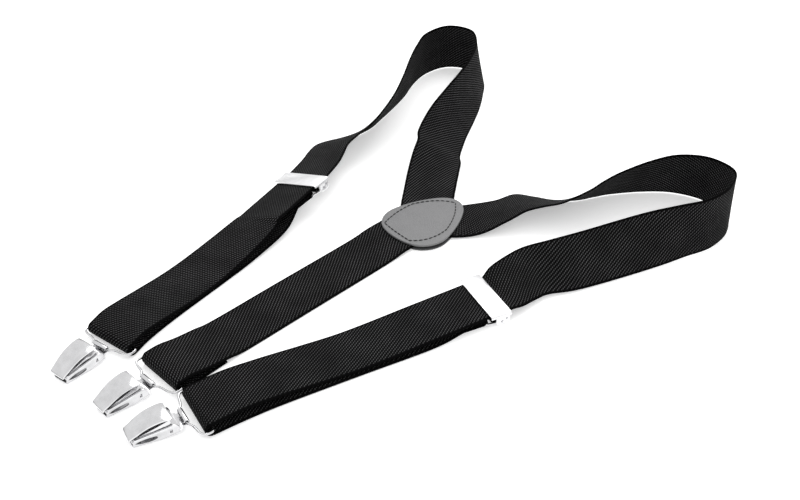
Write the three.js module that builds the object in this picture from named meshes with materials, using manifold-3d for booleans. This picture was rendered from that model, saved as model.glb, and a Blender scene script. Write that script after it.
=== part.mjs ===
// Y-back suspenders lying on a table, folded to shape: one back strap and two front straps meet
// at a leather yoke, each front strap makes a shoulder loop that stands on its edge, passes
// through a slide adjuster and doubles back at a clip. All sizes are in millimetres.
// Origin: the centre of the yoke's underside, on the table. +Z is up, and +Y runs from the back
// clip towards the shoulder loops.
import * as THREE from "three";
import * as BufferGeometryUtils from "three/addons/utils/BufferGeometryUtils.js";
import Module from "manifold-3d";

const wasm = await Module();
wasm.setup();

// ---------------------------------------------------------------- driving dimensions
const WEB_WIDTH = 35;              // width of the elastic webbing
const WEB_THICKNESS = 1.3;         // thickness of the elastic webbing
const TABLE_CLEARANCE = 0.15;      // what a flat strap keeps above z = 0
const SHEET = 0.8;                 // thickness of the stamped sheet metal
const FIT_GAP = 0.3;               // gap between neighbouring pieces

const LEATHER_THICKNESS = 1.3;
const BACKING_THICKNESS = 1.0;

const FOLD_RADIUS = 3.55;          // middle of the webbing where it turns round a ring's bar
const WIRE_RADIUS = 0.8;           // wire of the clip rings
const RING_LENGTH = 10.3;          // from the ring's wide bar to its narrow bar
const RING_HEIGHT = 4.35;          // height of both bars above the table

const CLIP_LENGTH = 31;            // from the ring's narrow bar to the tip of the jaws
const CLIP_REAR_HALF = 8.2;        // half width of the clip's base at its rear ears
const CLIP_TIP_HALF = 5.5;         // half width of the clip's base at the tip
const JAW_PIN = { y: 9.5, z: 4.6, radius: 0.6 };
const LEVER_PIN = { y: 30, z: 4.7, radius: 0.5 };

const ADJUSTER_WIDTH = 41;         // across the strap
const ADJUSTER_LENGTH = 13.5;      // along the strap
const ADJUSTER_PIVOT = { y: 0.4, z: -3.0, radius: 0.7 };
const ADJUSTER_BAR = { y: 3.4, z: -1.75, radius: 0.7 };
const LEVER_END = { y: -9.5, z: -3.3, radius: 0.8 };
const TAB_END = -14.5;             // where the sewn end tab stops, along the strap
const PLY_BELOW = -4.95;           // returning ply, measured from the middle of the upper ply

const FLAT = WEB_THICKNESS / 2 + TABLE_CLEARANCE;
const YOKE_LEVEL = BACKING_THICKNESS + FIT_GAP + WEB_THICKNESS / 2;
const LEATHER_LEVEL = YOKE_LEVEL + WEB_THICKNESS / 2 + FIT_GAP;

// The back clip and the two front clips: the middle of the ring's narrow bar, the direction in
// which the clip points, and how far the ring's wide bar sits in front of the fold's middle.
const CLIPS = {
  left: { at: [-44.2, -219.6], heading: -82, slack: -0.5 },
  back: { at: [-1.2, -217.8], heading: -91.5, slack: 1.5 },
  right: { at: [35.2, -220.9], heading: -106, slack: -0.3 },
};

// The slide adjusters: the middle of the upper ply under the face plate, the direction of the
// strap towards its shoulder loop, its lean about that direction, its fall towards the clip, and
// how far the adjuster sits askew on the strap.
const ADJUSTERS = {
  left: { at: [-82, -33.4, 12.2], heading: 104, lean: 18, fall: 0.03, skew: -6 },
  right: { at: [83.4, -32.3, 5.8], heading: 76, lean: 0, fall: 0.012, skew: -5 },
};

// Shoulder loops: each row is a point on the outer edge of the strap, which stands on the table,
// and then a point that the strap's cross line runs towards, on the inner edge.
const LOOPS = {
  left: [
    [-5.4, 35.9, YOKE_LEVEL, -33.3, 14.7, YOKE_LEVEL],
    [-17.5, 52, 2, -45, 30.5, 6.5],
    [-26.6, 64.4, 2.2, -54.6, 46.4, 12],
    [-31.8, 71.2, 2, -60.5, 57, 15.5],
    [-40, 79.5, 1.2, -68.5, 65.5, 16.5],
    [-52.5, 99, 0.8, -75.5, 85, 23],
    [-63.5, 119, 0.8, -80, 106, 28],
    [-74, 137, 0.8, -85.5, 127, 32],
    [-86, 154, 0.8, -93, 147, 34],
    [-99, 169, 0.8, -104, 165, 35],
    [-119, 177, 0.8, -120, 177, 36],
    [-136, 168, 0.8, -138, 170, 35],
    [-140.5, 149, 0.8, -141, 149, 35],
    [-136, 129.5, 0.8, -133, 130.5, 35],
    [-127, 110, 0.8, -122, 112, 35],
    [-120.5, 91, 0.8, -109.5, 93, 34],
    [-115.5, 73.5, 0.8, -98.5, 73, 31],
    [-112, 59, 0.8, -91, 54, 28],
    [-112.5, 42.5, 1.2, -87, 37, 24],
    [-117, 28, 2.5, -88, 25.5, 20.5],
    [-118.5, 14, 4.2, -87.5, 15.5, 18],
    [-113.5, 1.5, 6, -81.5, 5, 17],
    [-107.5, -10, 6.8, -75, -5, 17.5],
  ],
  right: [
    [5.4, 35.9, YOKE_LEVEL, 33.3, 14.7, YOKE_LEVEL],
    [16, 52.5, 2.5, 44, 32, 9],
    [22.5, 65, 4.6, 49.5, 45, 14],
    [32, 74, 2.8, 57, 54, 17],
    [43, 82.5, 1.2, 65.5, 63, 20],
    [53, 94.5, 0.8, 73, 79.5, 25],
    [58.5, 105, 0.8, 75.5, 91, 28],
    [64.5, 116, 0.8, 79, 104.5, 30.5],
    [77.5, 133, 0.8, 87, 125, 33.5],
    [93, 147, 0.8, 97, 142, 35],
    [113, 154, 0.8, 114, 153, 35],
    [133, 150, 0.8, 134, 151, 35],
    [145, 133, 0.8, 142, 133, 35],
    [147, 112, 0.8, 140, 113, 35],
    [141, 92, 0.8, 130, 95, 33],
    [135, 72, 0.8, 116.5, 78.5, 30],
    [127.5, 51, 0.8, 105.5, 61, 26],
    [120, 31.5, 0.8, 95.5, 42.5, 23.5],
    [113.5, 15, 1.5, 86.5, 22.5, 22],
    [106, 1, 2.5, 76, 10.5, 17.5],
    [104.5, -9, 3.5, 73, -1, 15.5],
    [104, -20, 4.6, 70.8, -13.5, 12.5],
  ],
};

// Upper ply between adjuster and clip: centre x, y, z, direction towards the loop, lean.
const UPPER_RUNS = {
  left: [
    [-69.4, -84, 9, 102, 11],
    [-65.6, -106, 5.6, 100, 5],
    [-61.7, -130, 3.1, 98, 1],
    [-58.5, -150, 2.8, 97, 0],
    [-55.4, -170, 4.2, 96, 0],
    [-52, -187, 6.4, 98, 0],
    [-49.3, -199.5, 7.7, 99, 0],
  ],
  right: [
    [64.8, -102, 3.6, 73, 0],
    [58.6, -122, 2.7, 71, 0],
    [51.6, -144, 3.2, 71, 0],
    [45.2, -168, 5.2, 74, 0],
    [40.6, -190, 7.2, 76, 0],
  ],
};

// Returning ply under it, from the end tab to the clip.
const UNDER_RUNS = {
  left: [
    [-71.2, -75, 3.2, 103, 4],
    [-65.7, -104, 1.3, 100, 1],
    [-61.7, -130, FLAT, 98, 0],
    [-55.4, -170, FLAT, 96, 0],
    [-50.4, -195, FLAT, 98, 0],
  ],
  right: [
    [72.8, -78, FLAT, 75, 0],
    [60.1, -122, FLAT, 71, 0],
    [47, -168, FLAT, 74, 0],
    [41.4, -192, FLAT, 76, 0],
  ],
};

// Back strap from the yoke to its clip.
const BACK_RUN = [
  [-4, -13, YOKE_LEVEL, 90, 0],
  [-4, -30, YOKE_LEVEL, 90, 0],
  [-3.8, -48, FLAT, 90, 0],
  [-3.4, -110, FLAT, 90, 0],
  [-3, -158, FLAT, 89, 0],
  [-2.8, -172, 2.5, 89, 0],
  [-2.4, -186, 4.4, 88, 0],
  [-1.7, -198, 7.2, 87, 0],
];
const BACK_TAIL = [-2.8, -174, FLAT, 89, 0];

// ---------------------------------------------------------------- materials
const MATERIALS = {
  webbing: new THREE.MeshStandardMaterial({ color: 0x16161a, roughness: 0.85, metalness: 0 }),
  leather: new THREE.MeshStandardMaterial({ color: 0x8c8c8e, roughness: 0.45, metalness: 0 }),
  backing: new THREE.MeshStandardMaterial({ color: 0x3a3a3c, roughness: 0.8, metalness: 0 }),
  chrome: new THREE.MeshStandardMaterial({ color: 0xd8d9dc, roughness: 0.2, metalness: 1 }),
  steel: new THREE.MeshStandardMaterial({ color: 0xb9babd, roughness: 0.35, metalness: 1 }),
  rubber: new THREE.MeshStandardMaterial({ color: 0x0c0c0e, roughness: 0.6, metalness: 0 }),
};

// ---------------------------------------------------------------- general helpers
const radians = THREE.MathUtils.degToRad;
const vector = (x, y, z) => new THREE.Vector3(x, y, z);

function named(name, geometry, material) {
  const mesh = new THREE.Mesh(geometry, MATERIALS[material].clone());
  mesh.name = name;
  return mesh;
}

function toSolid(geometry) {
  const bare = geometry.clone();
  bare.deleteAttribute("normal");
  bare.deleteAttribute("uv");
  const merged = BufferGeometryUtils.mergeVertices(bare, 1e-4);
  const mesh = new wasm.Mesh({
    numProp: 3,
    vertProperties: new Float32Array(merged.attributes.position.array),
    triVerts: new Uint32Array(merged.index.array),
  });
  return new wasm.Manifold(mesh);
}

function toGeometry(solid) {
  const mesh = solid.getMesh();
  const geometry = new THREE.BufferGeometry();
  geometry.setAttribute("position", new THREE.BufferAttribute(new Float32Array(mesh.vertProperties), 3));
  geometry.setIndex(new THREE.BufferAttribute(new Uint32Array(mesh.triVerts), 1));
  geometry.computeVertexNormals();
  return geometry;
}

function united(first, ...others) {
  return others.reduce((sum, geometry) => sum.add(toSolid(geometry)), toSolid(first));
}

// A solid whose outline lies in the Y-Z plane, running across X from low to high.
function acrossX(shape, low, high) {
  const geometry = new THREE.ExtrudeGeometry(shape, {
    depth: high - low,
    bevelEnabled: false,
    curveSegments: 10,
  });
  const turn = new THREE.Matrix4().makeBasis(vector(0, 1, 0), vector(0, 0, 1), vector(1, 0, 0));
  return geometry.applyMatrix4(turn).translate(low, 0, 0);
}

// A solid whose outline lies in the X-Y plane, running from one height to another.
function upright(shape, low, high) {
  const options = { depth: high - low, bevelEnabled: false, curveSegments: 10 };
  return new THREE.ExtrudeGeometry(shape, options).translate(0, 0, low);
}

function polygon(points) {
  return new THREE.Shape(points.map(([x, y]) => new THREE.Vector2(x, y)));
}

// A round bar along X.
function barX(place, radius, halfLength, segments = 16) {
  const bar = new THREE.CylinderGeometry(radius, radius, 2 * halfLength, segments);
  return bar.rotateZ(Math.PI / 2).translate(0, place.y, place.z);
}

// The outline of bent sheet metal: a middle line, thickened to both sides.
function sheetOutline(points, thickness) {
  const left = [];
  const right = [];
  points.forEach((point, index) => {
    const before = points[Math.max(index - 1, 0)];
    const after = points[Math.min(index + 1, points.length - 1)];
    const arriving = point.clone().sub(before);
    const leaving = after.clone().sub(point);
    if (arriving.length() === 0) arriving.copy(leaving);
    if (leaving.length() === 0) leaving.copy(arriving);
    arriving.normalize();
    leaving.normalize();
    const tangent = arriving.clone().add(leaving).normalize();
    const reach = thickness / 2 / Math.max(tangent.dot(leaving), 0.5);
    const normal = new THREE.Vector2(-tangent.y, tangent.x).multiplyScalar(reach);
    left.push(point.clone().add(normal));
    right.unshift(point.clone().sub(normal));
  });
  return new THREE.Shape([...left, ...right]);
}

function splinePoints(points, divisions) {
  const curve = new THREE.SplineCurve(points.map(([x, y]) => new THREE.Vector2(x, y)));
  return curve.getPoints(divisions);
}

// ---------------------------------------------------------------- webbing
// A station of a strap: the two edge points of its cross line.
function edgePair(outer, towards) {
  const across = towards.clone().sub(outer).setLength(WEB_WIDTH);
  return { outer, inner: outer.clone().add(across) };
}

// A station given by its centre, its direction, its lean, and on which side its outer edge is.
function centredPair(centre, heading, lean, side) {
  const turn = radians(heading + 90 * side);
  const level = Math.cos(radians(lean)) * WEB_WIDTH / 2;
  const rise = Math.sin(radians(lean)) * WEB_WIDTH / 2;
  const half = vector(Math.cos(turn) * level, Math.sin(turn) * level, rise);
  return { outer: centre.clone().sub(half), inner: centre.clone().add(half) };
}

function listedPairs(rows, side) {
  return rows.map(([x, y, z, heading, lean]) => centredPair(vector(x, y, z), heading, lean, side));
}

// The half turn round a clip ring's wide bar, from the upper ply down to the lower one.
function foldPairs(clip, side) {
  const out = vector(Math.cos(radians(clip.heading)), Math.sin(radians(clip.heading)), 0);
  const middle = vector(...clip.at, RING_HEIGHT).addScaledVector(out, -RING_LENGTH - clip.slack);
  const pairs = [];
  for (let degrees = 90; degrees >= -90; degrees -= 30) {
    const turn = radians(degrees);
    const centre = middle.clone().addScaledVector(out, Math.cos(turn) * FOLD_RADIUS);
    centre.z += Math.sin(turn) * FOLD_RADIUS;
    pairs.push(centredPair(centre, clip.heading + 180, 0, side));
  }
  return pairs;
}

// A flat band that runs through its stations, as one closed solid.
function webbing(pairs) {
  const outer = new THREE.CatmullRomCurve3(pairs.map((pair) => pair.outer), false, "catmullrom");
  const inner = new THREE.CatmullRomCurve3(pairs.map((pair) => pair.inner), false, "catmullrom");
  const spans = pairs.length - 1;
  const parameters = [];
  for (let span = 0; span < spans; span += 1) {
    const length = pairs[span].outer.distanceTo(pairs[span + 1].outer);
    const steps = Math.max(1, Math.min(3, Math.round(length / 6)));
    for (let step = 0; step < steps; step += 1) parameters.push((span + step / steps) / spans);
  }
  parameters.push(1);
  const positions = [];
  parameters.forEach((t) => {
    const a = outer.getPoint(t);
    const b = inner.getPoint(t);
    const along = outer.getTangent(t).add(inner.getTangent(t));
    const lift = b.clone().sub(a).cross(along).setLength(WEB_THICKNESS / 2);
    const corners = [a.clone().add(lift), b.clone().add(lift), b.clone().sub(lift), a.clone().sub(lift)];
    corners.forEach((corner) => positions.push(corner.x, corner.y, corner.z));
  });
  const faces = [0, 1, 2, 0, 2, 3];
  for (let ring = 0; ring < parameters.length - 1; ring += 1) {
    for (let side = 0; side < 4; side += 1) {
      const here = 4 * ring + side;
      const next = 4 * ring + (side + 1) % 4;
      faces.push(here, here + 4, next + 4, here, next + 4, next);
    }
  }
  const last = positions.length / 3 - 4;
  faces.push(last, last + 2, last + 1, last, last + 3, last + 2);
  const geometry = new THREE.BufferGeometry();
  geometry.setAttribute("position", new THREE.Float32BufferAttribute(positions, 3));
  geometry.setIndex(faces);
  const [p, q, r] = [0, 4, 5].map((index) => vector(...positions.slice(3 * index, 3 * index + 3)));
  const outward = q.sub(p).cross(r.sub(p)).dot(pairs[0].inner.clone().sub(pairs[0].outer)
    .cross(pairs[1].outer.clone().sub(pairs[0].outer)));
  if (outward < 0) {
    for (let face = 0; face < faces.length; face += 3) {
      [faces[face], faces[face + 1]] = [faces[face + 1], faces[face]];
    }
    geometry.setIndex(faces);
  }
  geometry.computeVertexNormals();
  return geometry;
}

const SIDES = { left: -1, right: 1 };

// A point of the straight stretch that the adjuster slides on.
function slidePoint(adjuster, distance) {
  const heading = radians(adjuster.heading);
  const [x, y, z] = adjuster.at;
  const step = vector(Math.cos(heading), Math.sin(heading), adjuster.fall).multiplyScalar(distance);
  return vector(x, y, z).add(step);
}

// Front strap: from under the yoke round the shoulder loop, through the adjuster, to its fold.
function frontStrap(name) {
  const side = SIDES[name];
  const adjuster = ADJUSTERS[name];
  const start = {
    outer: vector(0.4 * side, 29.2, YOKE_LEVEL),
    inner: vector(14 * side, -11, YOKE_LEVEL),
  };
  const loop = LOOPS[name].map((row) => edgePair(vector(...row.slice(0, 3)), vector(...row.slice(3))));
  const straight = [9.5, 5, -8, -22, -38, -46].map((distance) => (
    centredPair(slidePoint(adjuster, distance), adjuster.heading, adjuster.lean, side)
  ));
  const upper = listedPairs(UPPER_RUNS[name], side);
  return webbing([start, ...loop, ...straight, ...upper, ...foldPairs(CLIPS[name], side)]);
}

// The ply that returns under the strap, from the clip's fold to the end tab.
function underRun(name) {
  const side = SIDES[name];
  const near = [TAB_END - FIT_GAP - 0.1, TAB_END - 9].map((along) => (
    tabPair(ADJUSTERS[name], along, side)
  ));
  const fold = foldPairs(CLIPS[name], side);
  const seam = fold[fold.length - 1];
  const heading = radians(CLIPS[name].heading + 180);
  const back = vector(Math.cos(heading), Math.sin(heading), 0).multiplyScalar(FIT_GAP + 0.1);
  const last = { outer: seam.outer.clone().add(back), inner: seam.inner.clone().add(back) };
  return webbing([...near, ...listedPairs(UNDER_RUNS[name], side), last]);
}

function backStrap() {
  const tail = listedPairs([BACK_TAIL], 1);
  return webbing([...listedPairs(BACK_RUN, 1), ...foldPairs(CLIPS.back, 1), ...tail]);
}

// ---------------------------------------------------------------- yoke
function yokeOutline() {
  const shape = new THREE.Shape();
  shape.moveTo(0, -25.2);
  shape.quadraticCurveTo(12, -25.2, 18, -20);
  shape.quadraticCurveTo(24.8, -13.5, 24, -4);
  shape.quadraticCurveTo(22, 9.5, 14.3, 22.5);
  shape.quadraticCurveTo(8, 33.6, 0, 33.6);
  shape.quadraticCurveTo(-8, 33.6, -14.3, 22.5);
  shape.quadraticCurveTo(-22, 9.5, -24, -4);
  shape.quadraticCurveTo(-24.8, -13.5, -18, -20);
  shape.quadraticCurveTo(-12, -25.2, 0, -25.2);
  return shape;
}

// ---------------------------------------------------------------- slide adjuster
// Frame of an adjuster: X across the strap, Y along it towards the loop, Z away from the table,
// with its origin in the middle of the upper ply.
function adjusterFrame(adjuster) {
  const heading = radians(adjuster.heading);
  const along = vector(Math.cos(heading), Math.sin(heading), adjuster.fall).normalize();
  const tilt = -Math.sign(adjuster.at[0]) * radians(adjuster.lean);
  const level = vector(along.y, -along.x, 0).normalize();
  const up = level.clone().cross(along);
  const across = level.multiplyScalar(Math.cos(tilt)).addScaledVector(up, Math.sin(tilt));
  const away = across.clone().cross(along);
  const group = new THREE.Group();
  group.applyMatrix4(new THREE.Matrix4().makeBasis(across, along, away));
  group.position.set(...adjuster.at);
  const skewed = new THREE.Group();
  skewed.rotation.z = radians(adjuster.skew);
  group.add(skewed);
  return { group, skewed };
}

// A cross line of the returning ply, square to the adjuster rather than to the strap.
function tabPair(adjuster, along, side) {
  const { group, skewed } = adjusterFrame(adjuster);
  group.updateMatrixWorld(true);
  const [outer, inner] = [side, -side].map((end) => (
    skewed.localToWorld(vector(end * WEB_WIDTH / 2, along, PLY_BELOW))
  ));
  return { outer, inner };
}

// The bright face plate, bent down into two ears that carry the pins.
function facePlate() {
  const half = ADJUSTER_WIDTH / 2 - SHEET / 2;
  const face = 1.15 + SHEET / 2;
  const foot = -5.1;
  const middle = [[-half, foot], [-half, face - 1], [-half + 0.3, face - 0.3], [-half + 1, face],
    [half - 1, face], [half - 0.3, face - 0.3], [half, face - 1], [half, foot]];
  const section = sheetOutline(middle.map(([x, y]) => new THREE.Vector2(x, y)), SHEET);
  const options = { depth: ADJUSTER_LENGTH, bevelEnabled: false };
  const channel = new THREE.ExtrudeGeometry(section, options);
  channel.rotateX(Math.PI / 2).translate(0, ADJUSTER_LENGTH / 2, 0);
  const long = ADJUSTER_LENGTH / 2 + 1;
  const side = new THREE.Shape();
  side.moveTo(-long, 3);
  side.lineTo(-long, 0.2);
  side.lineTo(-3.6, 0.2);
  side.lineTo(-3.6, -2.4);
  side.absarc(-1, -2.4, 2.6, Math.PI, 1.5 * Math.PI, false);
  side.lineTo(3, -5);
  side.absarc(3, -2.4, 2.6, 1.5 * Math.PI, 2 * Math.PI, false);
  side.lineTo(5.6, 0.2);
  side.lineTo(long, 0.2);
  side.lineTo(long, 3);
  let solid = toSolid(channel).intersect(toSolid(acrossX(side, -25, 25)));
  [ADJUSTER_PIVOT, ADJUSTER_BAR].forEach((pin) => {
    solid = solid.subtract(toSolid(barX(pin, pin.radius + FIT_GAP / 2, 25)));
  });
  return toGeometry(solid);
}

// The toothed lever behind the strap, with the bar that the strap's end is sewn round.
function camLever() {
  const half = ADJUSTER_WIDTH / 2 - SHEET - 0.45;
  const window = WEB_WIDTH / 2 + 0.6;
  const middle = [[0.4, -4.05], [-3, -4.1], [-6.4, -3.7], [LEVER_END.y, LEVER_END.z]];
  const arm = acrossX(sheetOutline(middle.map(([y, z]) => new THREE.Vector2(y, z)), SHEET), -half, half);
  const opening = new THREE.BoxGeometry(2 * window, 3.6, 4).translate(0, LEVER_END.y + 2.1, -3.5);
  const teeth = polygon([[-1.1, -3.4], [-1.5, -1.15], [-0.5, -1.6], [0.1, -1.15], [0.7, -1.7], [0.9, -3]]);
  const solid = united(
    arm,
    barX(ADJUSTER_PIVOT, 1.35, half, 20),
    acrossX(teeth, -half + 1.5, half - 1.5),
  );
  const open = solid.subtract(toSolid(opening)).add(toSolid(barX(LEVER_END, LEVER_END.radius, half)));
  return toGeometry(open.subtract(toSolid(barX(ADJUSTER_PIVOT, ADJUSTER_PIVOT.radius + 0.08, 25, 20))));
}

// The strap's sewn end, which wraps the lever's bar.
function endTab() {
  const turn = WEB_THICKNESS / 2 + LEVER_END.radius + 0.2;
  const profile = [[TAB_END, -3.4], [TAB_END + 2.4, -2.3], [LEVER_END.y, LEVER_END.z + turn]];
  for (let degrees = 60; degrees >= -60; degrees -= 30) {
    const angle = radians(degrees);
    profile.push([LEVER_END.y + Math.cos(angle) * turn, LEVER_END.z + Math.sin(angle) * turn]);
  }
  profile.push([LEVER_END.y, PLY_BELOW], [TAB_END + 2.4, PLY_BELOW], [TAB_END, PLY_BELOW]);
  const middle = profile.map(([y, z]) => new THREE.Vector2(y, z));
  return acrossX(sheetOutline(middle, WEB_THICKNESS), -WEB_WIDTH / 2, WEB_WIDTH / 2);
}

function slideAdjuster(name) {
  const { group, skewed } = adjusterFrame(ADJUSTERS[name]);
  const reach = ADJUSTER_WIDTH / 2 + 0.35;
  skewed.add(
    named(`${name}_adjuster_face`, facePlate(), "chrome"),
    named(`${name}_adjuster_pivot`, barX(ADJUSTER_PIVOT, ADJUSTER_PIVOT.radius, reach), "steel"),
    named(`${name}_adjuster_bar`, barX(ADJUSTER_BAR, ADJUSTER_BAR.radius, reach), "steel"),
    named(`${name}_adjuster_lever`, camLever(), "chrome"),
    named(`${name}_end_tab`, endTab(), "webbing"),
  );
  return group;
}

// ---------------------------------------------------------------- clip
// Frame of a clip: its origin is on the table under the ring's narrow bar, +Y points to the tip.

// Half the width of the clip's base at a distance from the ring.
function baseHalf(y) {
  return THREE.MathUtils.mapLinear(y, 4, CLIP_LENGTH, CLIP_REAR_HALF, CLIP_TIP_HALF);
}

// An outline seen from above: a blank that narrows with the base, kept inside it by an inset.
function taperedPlan(from, to, inset) {
  const near = baseHalf(from) - inset;
  const far = baseHalf(to) - inset;
  return polygon([[-near, from], [near, from], [far, to], [-far, to]]);
}

// The wire ring: an outline that widens from the clip's barrel to the strap's corners.
function wireRing() {
  const half = [[5.8, 0], [7, -0.5], [8, -1.5], [10.5, -2.4], [15, -3.1], [17.2, -4.1], [18.3, -5.2],
    [18.5, -6.5], [18.5, -8.5], [18.1, -9.8], [17, -RING_LENGTH], [9, -RING_LENGTH], [0, -RING_LENGTH]];
  const forward = [[0.2, 0], [3.2, 0], ...half];
  const back = forward.slice(0, -1).reverse().map(([x, y]) => [-x, y]);
  const points = [...forward, ...back].map(([x, y]) => vector(x, y, RING_HEIGHT));
  const path = new THREE.CatmullRomCurve3(points, false, "centripetal");
  const section = new THREE.Shape();
  section.absarc(0, 0, WIRE_RADIUS, 0, 2 * Math.PI, false);
  return new THREE.ExtrudeGeometry(section, {
    steps: 84,
    extrudePath: path,
    curveSegments: 4,
    bevelEnabled: false,
  });
}

// Lower jaw: a stamped channel, rolled round the ring's narrow bar at its rear end.
function clipBase() {
  const barrel = new THREE.Path();
  barrel.absarc(0, RING_HEIGHT, WIRE_RADIUS + FIT_GAP + SHEET / 2, radians(20), radians(270), false);
  barrel.lineTo(4.5, 2.7);
  barrel.quadraticCurveTo(10, 1.7, 14.5, 0.7);
  barrel.lineTo(CLIP_LENGTH, 0.7);
  const floor = acrossX(sheetOutline(barrel.getPoints(9), 0.7), -12, 12);
  const plan = new THREE.Shape();
  plan.moveTo(-5.2, -4);
  plan.lineTo(5.2, -4);
  plan.lineTo(5.2, 2.2);
  plan.lineTo(CLIP_REAR_HALF, 4.6);
  plan.lineTo(CLIP_TIP_HALF, CLIP_LENGTH - 1);
  plan.quadraticCurveTo(CLIP_TIP_HALF - 0.4, CLIP_LENGTH - 0.4, CLIP_TIP_HALF - 2, CLIP_LENGTH - 0.4);
  plan.lineTo(-CLIP_TIP_HALF + 2, CLIP_LENGTH - 0.4);
  plan.quadraticCurveTo(-CLIP_TIP_HALF + 0.4, CLIP_LENGTH - 0.4, -CLIP_TIP_HALF, CLIP_LENGTH - 1);
  plan.lineTo(-CLIP_REAR_HALF, 4.6);
  plan.lineTo(-5.2, 2.2);
  let solid = toSolid(floor).intersect(toSolid(upright(plan, -1, 9)));

  const wall = new THREE.Shape();
  wall.moveTo(4.5, 2.6);
  wall.quadraticCurveTo(4.4, 5.4, 5.8, 7.4);
  wall.quadraticCurveTo(7.2, 8.5, 9, 8.2);
  wall.quadraticCurveTo(14, 7.1, 22, 6.2);
  wall.lineTo(28.6, 5.3);
  wall.absarc(LEVER_PIN.y, LEVER_PIN.z, 1.05, radians(150), radians(-20), true);
  wall.lineTo(30.45, 3.4);
  wall.lineTo(30.5, 0.35);
  wall.lineTo(14.5, 0.35);
  wall.quadraticCurveTo(10, 1.35, 4.5, 2.35);
  const lens = new THREE.Path();
  lens.moveTo(17, 2.6);
  lens.quadraticCurveTo(19, 1.5, 23, 1.5);
  lens.quadraticCurveTo(27, 1.6, 29.3, 2.5);
  lens.quadraticCurveTo(27, 4, 22, 4.2);
  lens.lineTo(18, 4.2);
  lens.quadraticCurveTo(16.8, 4, 17, 2.6);
  wall.holes.push(lens);
  const slot = new THREE.Path();
  slot.moveTo(JAW_PIN.y - 0.75, JAW_PIN.z - 1.1);
  slot.lineTo(JAW_PIN.y + 0.75, JAW_PIN.z - 1.1);
  slot.lineTo(JAW_PIN.y + 0.75, JAW_PIN.z + 1.1);
  slot.lineTo(JAW_PIN.y - 0.75, JAW_PIN.z + 1.1);
  wall.holes.push(slot);
  const taper = Math.atan2(CLIP_REAR_HALF - CLIP_TIP_HALF, CLIP_LENGTH - 4);
  [-1, 1].forEach((side) => {
    const plate = acrossX(wall, -SHEET / 2, SHEET / 2);
    plate.rotateZ(side * taper).translate(side * (baseHalf(0) - SHEET / 2), 0, 0);
    solid = solid.add(toSolid(plate));
  });
  return toGeometry(solid.subtract(toSolid(barX(LEVER_PIN, LEVER_PIN.radius + 0.1, 12))));
}

// Upper jaw: a channel that rises from the tip towards the cover's free end.
function upperJaw() {
  const inset = SHEET + 0.45;
  const top = [[9.6, 11.2], [12.5, 10], [16, 8.7], [21, 7.2], [26, 5.6], [28.4, 3.1], [29.8, 2.95]];
  const blank = acrossX(sheetOutline(top.map(([y, z]) => new THREE.Vector2(y, z)), 0.6), -12, 12);
  const plan = upright(taperedPlan(7, 29.8, inset), -1, 14);
  let solid = toSolid(blank).intersect(toSolid(plan));
  const flange = new THREE.Shape();
  flange.moveTo(9.6, 11.3);
  flange.lineTo(8.4, 8.4);
  flange.lineTo(8, 5.2);
  flange.absarc(JAW_PIN.y, JAW_PIN.z, 1.5, radians(180), radians(300), false);
  flange.lineTo(14, 5.4);
  flange.lineTo(24, 4);
  flange.lineTo(26.3, 3);
  flange.lineTo(29.8, 2.75);
  flange.lineTo(29.8, 3.1);
  flange.lineTo(28.4, 3.3);
  flange.lineTo(26, 5.7);
  flange.lineTo(21, 7.3);
  flange.lineTo(16, 8.8);
  flange.lineTo(12.5, 10.1);
  const taper = Math.atan2(CLIP_REAR_HALF - CLIP_TIP_HALF, CLIP_LENGTH - 4);
  [-1, 1].forEach((side) => {
    const plate = acrossX(flange, -0.35, 0.35);
    plate.rotateZ(side * taper).translate(side * (baseHalf(0) - inset - 0.35), 0, 0);
    solid = solid.add(toSolid(plate));
  });
  return toGeometry(solid.subtract(toSolid(barX(JAW_PIN, JAW_PIN.radius + 0.08, 12))));
}

// Cover lever: an arched plate from the tip back over the clip, rolled round its pin at the tip.
function coverLever() {
  const arch = [[32, 5], [31.7, 5.8], [30.6, 6.6], [28, 7.9], [24.6, 9.8], [21, 11.3], [17, 12.3], [13, 12.7],
    [10.5, 12.6], [8.2, 12.2]];
  const middle = splinePoints(arch, 24);
  const blank = acrossX(sheetOutline(middle, 0.8), -9, 9);
  const plan = new THREE.Shape();
  plan.moveTo(-5.1, 33);
  plan.quadraticCurveTo(-6.6, 22, -7.2, 9.4);
  plan.quadraticCurveTo(-7.1, 7.9, -5.6, 7.7);
  plan.lineTo(5.6, 7.7);
  plan.quadraticCurveTo(7.1, 7.9, 7.2, 9.4);
  plan.quadraticCurveTo(6.6, 22, 5.1, 33);
  const plate = toSolid(blank).intersect(toSolid(upright(plan, 0, 16)));
  const roll = new THREE.Shape();
  roll.absarc(LEVER_PIN.y, LEVER_PIN.z, 1.05, radians(180), radians(280), false);
  roll.absarc(LEVER_PIN.y, LEVER_PIN.z, 0.75, radians(290), radians(380), false);
  roll.lineTo(31.2, 6.1);
  roll.lineTo(29, 7.2);
  const body = plate.add(toSolid(acrossX(roll, -3.9, 3.9)));
  return toGeometry(body.subtract(toSolid(barX(LEVER_PIN, LEVER_PIN.radius + 0.08, 12))));
}

// Ribbed rubber pad inside a jaw's tip.
function jawPad(low, high) {
  const half = 3.6;
  return new THREE.BoxGeometry(2 * half, 4, high - low).translate(0, 27.7, (low + high) / 2);
}

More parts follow.
